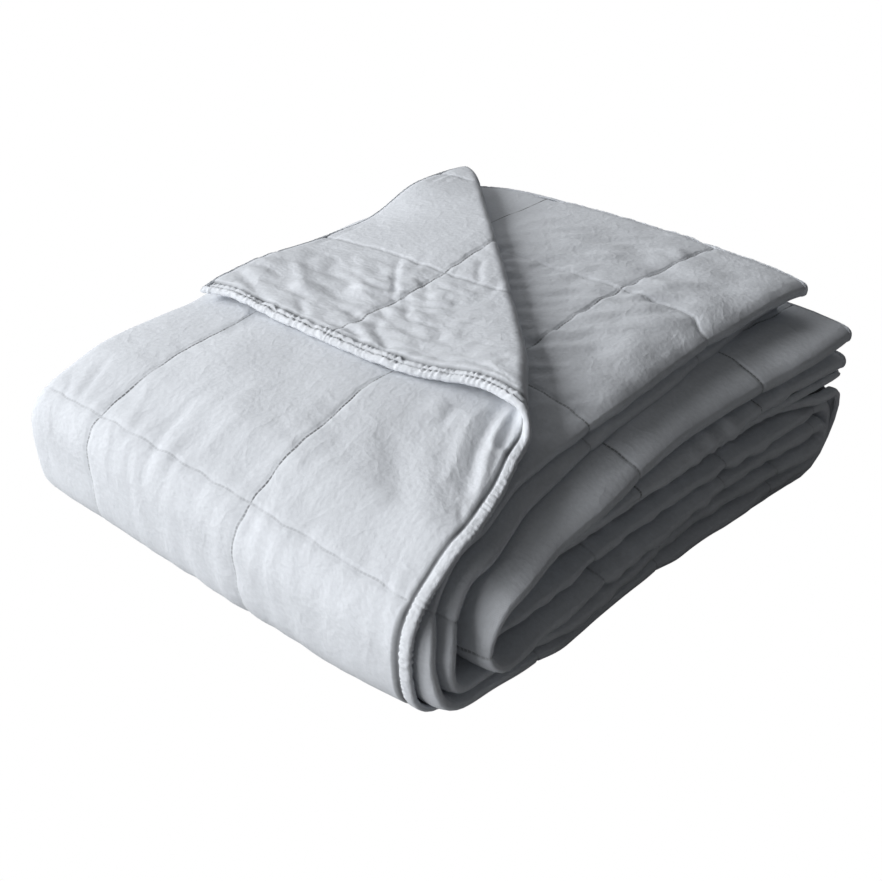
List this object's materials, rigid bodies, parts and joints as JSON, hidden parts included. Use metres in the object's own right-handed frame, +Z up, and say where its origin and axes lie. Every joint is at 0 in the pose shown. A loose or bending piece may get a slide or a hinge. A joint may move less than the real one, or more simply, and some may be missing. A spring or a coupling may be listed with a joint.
{
  "type": "folded quilt",
  "caption": "Folded bed quilt of washed cotton with plain grid quilting and a narrow binding, one corner turned back over the pack.",
  "frame": {"origin": "on the surface under the pack, near the middle of its base", "axes": "+Z up, -Y towards the long front fold, +X towards the side where the layers show and the hem runs down"},
  "size_m": [0.5071, 0.5336, 0.209],
  "materials": {
    "quilted_cotton": "washed matt cotton, finely creased",
    "binding_cotton": "washed matt cotton, gathered along the stitching"
  },
  "bodies": {
    "root": {"quilt": "quilted_cotton", "binding": "binding_cotton"}
  },
  "joints": []
}
